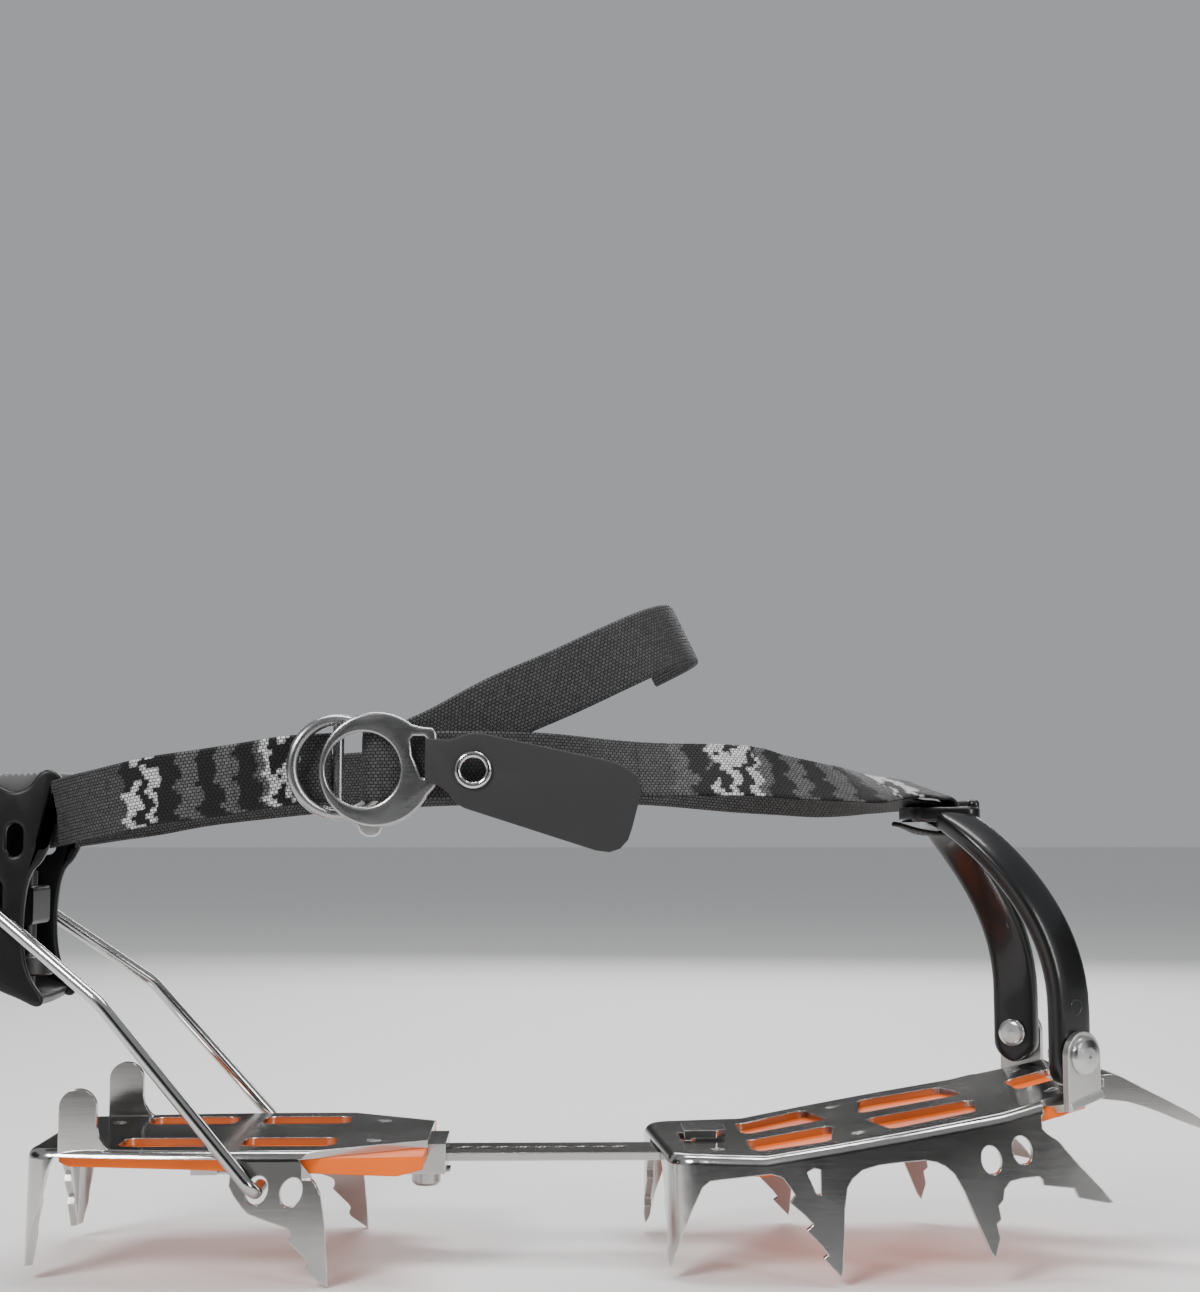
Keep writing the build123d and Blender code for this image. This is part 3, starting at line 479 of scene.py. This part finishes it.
def strip_faces(n, m):
    """Faces of a closed strip of n rows and m columns with two sides."""
    faces = []
    for i in range(n - 1):
        for j in range(m - 1):
            a = i * m + j
            b = n * m + a
            faces += [(a, a + m, a + m + 1, a + 1), (b, b + 1, b + m + 1, b + m)]
        for j in (0, m - 1):
            a, b = i * m + j, n * m + i * m + j
            faces.append((a, b, b + m, a + m) if j == 0 else (a, a + m, b + m, b))
    for i in (0, n - 1):
        for j in range(m - 1):
            a, b = i * m + j, n * m + i * m + j
            faces.append((a, a + 1, b + 1, b) if i == 0 else (a, b, b + 1, a + 1))
    return faces


UP = (0, 0, 1)
FROM_LEVER = [("heel_lever", "adjuster", -165, -160), ("adjuster", "heel_bail", -160, -143),
              ("heel_bail", "rear", -143, -105)]
ON_REAR = [("rear", None, 0, 0)]
TO_BAIL = [("rear", "bar", -24, 12), ("bar", "front", 12, 48), ("front", "toe_bail", 52, 94)]


def make_straps():
    """The strap's four runs: lever to ring, ring to bail, lever to bail on the far side, and the tail."""
    slant = (-0.25, 0.05, 1)
    webbing("heel_webbing", [
        ((-167.5, -16.5, 135), slant), ((-164, -19.2, 135.6), slant), ((-160.5, -24, 136.2), slant),
        ((-155, -31.5, 137.2), (-0.12, 0, 1)),
        ((-145, -40, 139), UP), ((-130, -46.5, 142), UP), ((-115, -50, 144), UP), ((-100, -52.4, 146.2), UP),
        ((-90, -53.0, 147.8), UP), ((-82, -53.0, 148.4), UP), ((-76.4, -52.6, 148.7), UP)],
        FROM_LEVER + ON_REAR, "heel_strap", motif([(-136, -125), (-94, -85)], [(-125, -94)]))
    webbing("toe_webbing", [
        ((-67.4, -49.8, 149), UP), ((-67.2, -52.2, 149), UP), ((-65.2, -54.2, 149), UP), ((-61.5, -54.7, 149.1), UP),
        ((-56, -54.3, 149.2), UP),
        ((-50, -53, 149.3), (0, 0.05, 1)), ((-19.5, -48.8, 149.5), (0, 0.22, 1)),
        ((13, -44, 148.6), (0, 0.7, 1)), ((45, -38.5, 148.4), (0, 0.85, 1)), ((59, -34.5, 146.5), (0, 1.15, 1)),
        ((75, -28.5, 144.8), (0, 1.7, 1)), ((86, -19, 144.3), (0, 2.7, 1)), ((98, -8, 144.0), (0, 4.5, 1)),
        ((106, -3, 142.9), (0, 1, 0.15)), ((111.5, -0.6, 141.0), (0, 1, 0.05)), ((114.2, 0, 138), (0, 1, 0)),
        ((114.5, 0, 134), (0, 1, 0)), ((113.6, 0, 130.6), (0, 1, 0)), ((109.5, 0.3, 129.6), (0, 1, 0)),
        ((103, 1.0, 130.4), (0, 1, 0)), ((97, 3.0, 132.6), (0, 1, 0.1))],
        TO_BAIL, "toe_strap", motif([(36, 50), (90, 100)], [(24, 36), (50, 90)]))
    webbing("far_webbing", [
        ((-167.5, 16.5, 135), UP), ((-164, 19.2, 135.6), UP), ((-160.5, 24, 136.2), UP), ((-155, 32, 137.3), UP),
        ((-145, 41, 139), UP), ((-130, 47.5, 142), UP),
        ((-110, 53, 144.5), UP), ((-85, 56, 147), UP), ((-50, 56.5, 149), UP), ((-20, 55.5, 149.5), UP),
        ((12.8, 52, 149.5), UP), ((35, 47, 148), UP), ((60, 39.5, 145), (0, -0.5, 1)),
        ((76, 30, 142.4), (0, -1.2, 1)), ((87, 20.5, 141.6), (0, -2.4, 1)), ((97, 9.5, 140.6), (0, -5, 1)),
        ((104, 4, 139.6), (0, -1, 0.1)), ((110.5, 1.5, 139.0), (0, -1, 0))],
        FROM_LEVER + TO_BAIL, "far_strap")
    lean = (-0.44, 0, 0.9)
    webbing("tail_webbing", [(place, lean) for place in (
        (-56, -46.6, 151.8), (-44, -45.2, 157.5), (-28, -43.6, 166.3), (-10, -42.4, 174.3), (4.5, -39.6, 181.3),
        (16, -33, 187), (24, -23, 190.5), (28, -10, 192), (28.5, 4, 192), (26, 18, 191), (18, 31, 187.5))],
        ON_REAR, "tail_strap")


# ---------------------------------------------------------------- toe bail

BAIL_FOOT, BAIL_LOW = Vector((141.3, 33.0, 76.3)), 54.8      # a foot's top, and the height of its rounded tip
BAIL_TOP, BAIL_REACH = 135.6, 31.0
BAIL_WIDE, BAIL_NARROWING, BAIL_THICK = 14.4, 2.6, 6.5
BAIL_YAW = math.radians(34)      # how far the feet face forward
BAIL_TIP, BAIL_FOOT_STEPS = 6.6, 14
BAIL_SIDES, BAIL_SQUARE = 36, 0.42


def arch_point(angle):
    """A point on the band's middle line, in millimetres, from 0 at the outer foot to 180 at the inner foot."""
    across, rise = math.cos(math.radians(angle)), max(math.sin(math.radians(angle)), 0.0) ** 0.8
    side = -1 if across > 0 else 1
    return Vector((BAIL_FOOT.x - BAIL_REACH * rise ** 2.1, side * BAIL_FOOT.y * abs(across) ** 0.8,
                   BAIL_FOOT.z + (BAIL_TOP - BAIL_FOOT.z) * rise))


def bail_stations():
    """Places, width directions, directions ahead and widths along the band, from the outer foot's tip."""
    heights = [BAIL_LOW + (BAIL_FOOT.z - BAIL_LOW) * (number / BAIL_FOOT_STEPS) ** 2
               for number in range(BAIL_FOOT_STEPS)]
    stations = [(0, height) for height in heights]
    stations += [(angle, None) for angle in range(0, 181, 3)]
    stations += [(180, height) for height in reversed(heights)]
    rows = []
    for angle, height in stations:
        turn = BAIL_YAW * math.cos(math.radians(angle))
        wide = Vector((math.cos(turn), math.sin(turn), 0))
        place = arch_point(angle)
        ahead = Z if angle == 0 else -Z
        if height is None:
            if 0 < angle < 180:
                ahead = (arch_point(angle + 1) - arch_point(angle - 1)).normalized()
            wide = (wide - ahead * wide.dot(ahead)).normalized()
            width = BAIL_WIDE - BAIL_NARROWING * math.sin(math.radians(angle))
        else:
            place.z = height
            rise = min((height - BAIL_LOW) / BAIL_TIP, 1.0)
            width = BAIL_WIDE * math.sqrt(max(1 - (1 - rise) ** 2, 0.002))
        rows.append((place, wide, ahead, width))
    return rows


def make_bail():
    """The bail's band and feet in one glossy moulding, with a ridge along its outer face, and its head."""
    vertices, faces = [], []
    rows = bail_stations()
    for place, wide, ahead, width in rows:
        normal = ahead.cross(wide)
        for number in range(BAIL_SIDES):
            turn = 2 * math.pi * number / BAIL_SIDES
            c, d = math.cos(turn), math.sin(turn)
            u = math.copysign(abs(c) ** BAIL_SQUARE, c)
            v = math.copysign(abs(d) ** BAIL_SQUARE, d)
            crown = 0.5 * (1 - u * u)
            vertices.append((place + wide * u * width / 2 + normal * v * (BAIL_THICK / 2 - 0.35 + crown * 0.7)) * MM)
    for i in range(len(rows) - 1):
        for j in range(BAIL_SIDES):
            a, b = i * BAIL_SIDES + j, i * BAIL_SIDES + (j + 1) % BAIL_SIDES
            faces.append((a, b, b + BAIL_SIDES, a + BAIL_SIDES))
    faces.append(tuple(range(BAIL_SIDES)))
    faces.append(tuple(reversed(range((len(rows) - 1) * BAIL_SIDES, len(rows) * BAIL_SIDES))))
    band = new_object("bail_band", vertices, faces)
    paint(band, "bail")
    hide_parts("toe_bail", "toe_bail_feet")
    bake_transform(band)
    head = rounded_plate("bail_head", (110, 0), (22, 28), 5, BAIL_TOP - 2.4, 4.8, 1.1,
                         hole=((114.5, 0), (4.4, 22), 1.5))
    lip = rounded_plate("bail_lip", (119.4, 0), (3.6, 19), 1.7, BAIL_TOP + 0.6, 4.2, 1.5)
    disc = arc((0, 0), 2.5, 0, 345, 24)
    hole = arc((0, 0), 2.5 * 0.78, 0, 345, 24)
    for side in (-1, 1):
        normal = Vector((math.sin(BAIL_YAW), side * math.cos(BAIL_YAW), 0))
        place = Vector((141.0, side * 32.9, 78.4)) + normal * (BAIL_THICK / 2 + 0.05)
        ring = plate_with_holes(f"bail_mark_{'near' if side < 0 else 'far'}", disc, [hole], place, Z.cross(normal), Z,
                                0.5, 0.15)
        paint(ring, "bail")
        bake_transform(ring)
    for piece in (head, lip):
        paint(piece, "bail")
        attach(piece, "toe_bail")


# ---------------------------------------------------------------- heel lever

LEVER_WING = [(-166, 149.0), (-162.6, 147.6), (-161.0, 144), (-161.6, 139), (-164.6, 127), (-167.0, 121.5),
              (-169.8, 118), (-171.5, 112), (-172.2, 102), (-171.4, 92), (-169.3, 86), (-166.2, 81.2), (-165.9, 78.8),
              (-168, 77.9), (-173, 80.2), (-181, 84.0), (-189, 92), (-192.5, 101), (-193.6, 111), (-191.4, 124),
              (-189.2, 137), (-186.4, 144.0), (-182, 144.6), (-176.5, 142.4), (-172, 143.6), (-168.6, 147.6)]
LEVER_SIDE, LEVER_WALL = 22.0, 3.2
BACK_THICK, BACK_BOW = 2.8, 0.9      # the lever's curved back, and how far its middle is bowed
RIB_STEP, RIB_HEIGHT, RIB_WAVE = 0.25, 0.35, 0.85


def smooth_closed(points, per=5):
    """A smooth closed outline through points."""
    points = np.array(points, float)
    count, fine = len(points), []
    for k in range(count):
        a, b, c, d = (points[(k + o) % count] for o in (-1, 0, 1, 2))
        fine += [tuple(spline_point(a, b, c, d, t)) for t in np.linspace(0, 1, per, endpoint=False)]
    return fine


def slanted_slot(middle, long, wide, lean, steps=6):
    """A round-ended slot, leaning from upright by an angle in degrees."""
    turn, points = math.radians(lean), []
    for end in (1, -1):
        for step in range(steps + 1):
            angle = math.pi * step / steps + (0 if end > 0 else math.pi)
            u, v = wide / 2 * math.cos(angle), end * (long - wide) / 2 + wide / 2 * math.sin(angle)
            points.append((middle[0] + u * math.cos(turn) + v * math.sin(turn),
                           middle[1] - u * math.sin(turn) + v * math.cos(turn)))
    return points


def make_lever_back():
    """The lever's curved back and the pad's bed, one bowed strip between the wings."""
    rows, _ = curve_through([(-168.0, 0, 79.6), (-173.5, 0, 82.0), (-181, 0, 86.0), (-187.4, 0, 93.0),
                             (-190.4, 0, 101.5), (-191.4, 0, 111), (-189.4, 0, 124), (-187.1, 0, 136.5),
                             (-184.8, 0, 141.6), (-180, 0, 141.8), (-174, 0, 140.4), (-168, 0, 141.2),
                             (-164.6, 0, 143.2)], 1.5)
    middles, vertices, faces = [Vector(row) for row in rows], [], []
    columns = np.linspace(-1, 1, 17)
    for k, middle in enumerate(middles):
        ahead = (middles[min(k + 1, len(middles) - 1)] - middles[max(k - 1, 0)]).normalized()
        out = Y.cross(ahead)
        for face in (1, -1):
            for column in columns:
                lift = face * BACK_THICK / 2 - BACK_BOW * (1 - column ** 2)
                vertices.append((middle + Y * (column * (LEVER_SIDE - LEVER_WALL)) + out * lift) * MM)
    m = len(columns)
    for k in range(len(middles) - 1):
        a = k * 2 * m
        for j in range(m - 1):
            faces.append((a + j, a + j + 1, a + 2 * m + j + 1, a + 2 * m + j))
            faces.append((a + m + j, a + 3 * m + j, a + 3 * m + j + 1, a + m + j + 1))
    for k in (0, len(middles) - 1):
        a = k * 2 * m
        for j in range(m - 1):
            faces.append((a + j, a + m + j, a + m + j + 1, a + j + 1))
    return new_object("lever_back", vertices, faces)


def make_lever():
    """The heel lever's two wings, its curved back, the pad's bed, and the ribbed pad."""
    pieces = []
    for side in (-1, 1):
        slots = [slanted_slot((-165.2, 135.4), 19.5, 2.9, 14), slanted_slot((-175.5, 127.8), 10, 5.2, 0),
                 slanted_slot((-181, 109.5), 13, 4.6, 0)]
        pieces.append(plate_with_holes(f"lever_wing_{'near' if side < 0 else 'far'}", smooth_closed(LEVER_WING), slots,
                                       Y * (side * (LEVER_SIDE - LEVER_WALL / 2)), X, Z, LEVER_WALL, 1.1))
    pieces.append(make_lever_back())
    for piece in pieces:
        paint(piece, "lever")
        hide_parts("heel_lever")
        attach(piece, "heel_lever")
    ribs = []
    for number in range(81):
        x = -186.0 + number * RIB_STEP
        crown = 1.2 * ((x + 176) / 10) ** 2 * (1 if x > -176 else -0.6)
        ribs.append((x, 147.6 + RIB_HEIGHT * math.sin(number * RIB_WAVE) + crown))
    pad = plate_with_holes("lever_pad", [(-185.6, 142.4), (-166.2, 142.0)] + ribs[::-1], [], Vector((0, 0, 0)), X, Z,
                           2 * (LEVER_SIDE - LEVER_WALL) - 0.6, 0.25)
    paint(pad, "grip")
    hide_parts("lever_grip")
    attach(pad, "heel_lever")


# ---------------------------------------------------------------- rings and pull tab

RING_FACE = -56.8                      # Y of the release ring's middle
TAB_FACE, EYELET_FACE = -59.0, -59.9      # Y of the pull tab's middle and the eyelet's


def upright_plate(name, outline, holes, y, thick, edge, material, nodes, body):
    """A flat piece that stands along X, drawn in X and Z, riding on a body in place of CAD nodes."""
    obj = plate_with_holes(name, outline, holes, Y * y, X, Z, thick, edge)
    paint(obj, material)
    if nodes:
        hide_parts(*nodes)
    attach(obj, body)


def make_rings():
    """The release ring with its ear and thumb tab, the pull tab that hangs from the ear, and the tab's eyelet."""
    ring = arc((-63.5, 148), 16.5, 52, 334, 60) + [(-46.8, 142.6), (-46.0, 144.0), (-45.9, 156.0), (-46.2, 158.8),
                                                    (-47.4, 160.0), (-51.0, 160.3)]
    ear_hole = [(-53.6, 156.6), (-52.9, 157.5), (-49.9, 157.5), (-49.1, 156.8), (-49.1, 146.6), (-49.8, 145.7),
                (-50.6, 145.9), (-53.1, 152.0)]
    upright_plate("release_ring_shape", ring, [arc((-67.3, 148), 10.7, 0, 352.5, 48), ear_hole], RING_FACE, 2.2, 0.85,
                  "ring", ["release_ring"], "release")
    thumb = [(-69.4, 133.6), (-61.9, 134.2), (-61.6, 131.2), (-62.6, 129.4), (-64.2, 128.7), (-66.4, 128.9),
             (-67.9, 130.2)]
    upright_plate("release_thumb_tab", thumb, [], RING_FACE + 0.3, 1.3, 0.45, "post", [], "release")
    tab = [(-49.4, 156.9), (-42.7, 156.4), (-40.6, 157.1), (-38.0, 158.0), (-35.5, 158.5), (-32.9, 158.3),
           (2.3, 150.8), (6.2, 149.6), (9.4, 147.7), (11.5, 145.4), (12.4, 142.9), (12.1, 140.0), (9.9, 131.4),
           (8.7, 127.9), (6.4, 125.4), (3.4, 124.4), (-0.6, 124.9), (-38.0, 136.9), (-40.4, 138.2), (-42.6, 141.0),
           (-44.6, 142.8), (-46.2, 143.6), (-49.4, 144.9)]
    upright_plate("pull_tab_leaf", tab, [arc((-35.6, 147.8), 3.6, 0, 345, 24)], TAB_FACE, 1.6, 0.4, "tab",
                  ["pull_tab"], "pull_tab")
    bpy.ops.mesh.primitive_torus_add(major_radius=4.45 * MM, minor_radius=1.05 * MM, major_segments=48,
                                     minor_segments=16, location=Vector((-35.6, EYELET_FACE, 147.8)) * MM,
                                     rotation=(math.pi / 2, 0, 0))
    eyelet = bpy.context.object
    eyelet.name = "eyelet"
    eyelet.data.polygons.foreach_set("use_smooth", [True] * len(eyelet.data.polygons))
    paint(eyelet, "chrome")
    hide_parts("pull_tab_eyelet")
    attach(eyelet, "pull_tab")


make_camera()
make_studio()
for material, nodes in NODE_MATERIALS.items():
    for node in nodes:
        paint(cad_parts[node], material)
make_bail()
make_rings()
make_lever()
make_straps()

bpy.context.view_layer.update()
